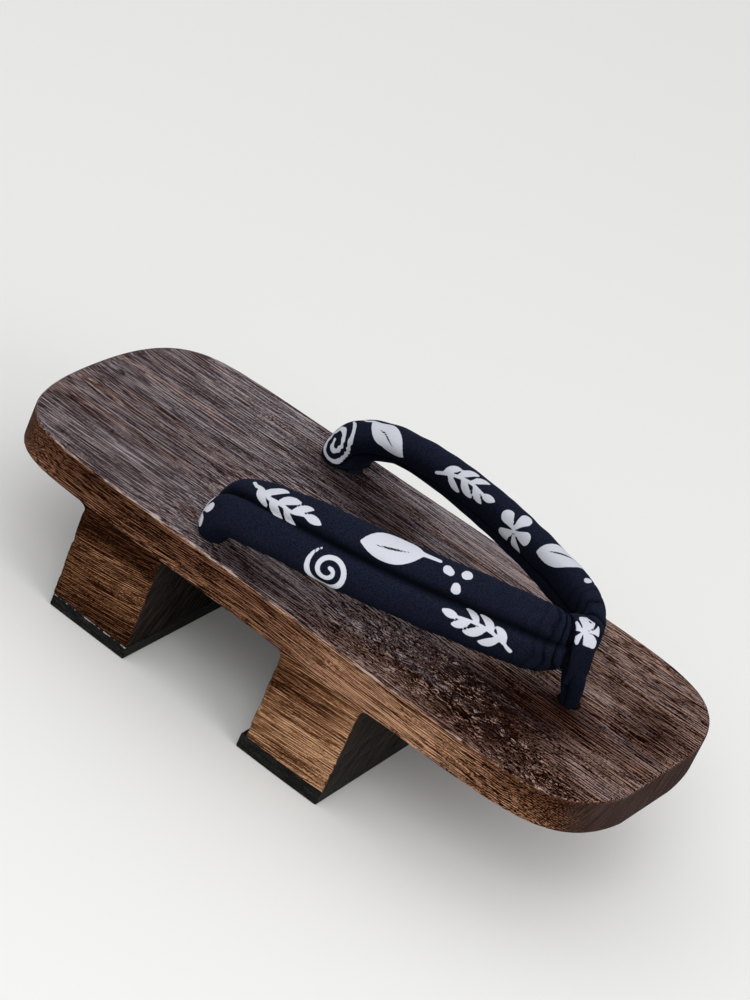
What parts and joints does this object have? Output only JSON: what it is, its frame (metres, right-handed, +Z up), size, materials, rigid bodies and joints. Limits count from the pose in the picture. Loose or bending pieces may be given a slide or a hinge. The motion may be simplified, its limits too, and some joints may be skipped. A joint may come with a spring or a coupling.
{
  "type": "geta sandal",
  "caption": "Wooden geta sandal: a flat rounded deck on deep square teeth with rubber treads, held on the foot by a padded cloth thong strap.",
  "frame": {"origin": "centre of the footprint on the floor, under the treads", "axes": "-Y towards the toe, +Y towards the heel, +Z up, -X towards the wearer's right"},
  "size_m": [0.114, 0.2449, 0.0861],
  "materials": {
    "charred_wood": "charred, brushed along the grain, matt",
    "tread_rubber": "plain black, matt",
    "navy_cotton": "matt dark navy cotton weave with a pale print"
  },
  "bodies": {
    "root": {"deck": "charred_wood", "front_tooth": "charred_wood", "rear_tooth": "charred_wood", "front_tread": "tread_rubber", "rear_tread": "tread_rubber", "strap": "navy_cotton", "toe_thong": "navy_cotton"}
  },
  "joints": []
}
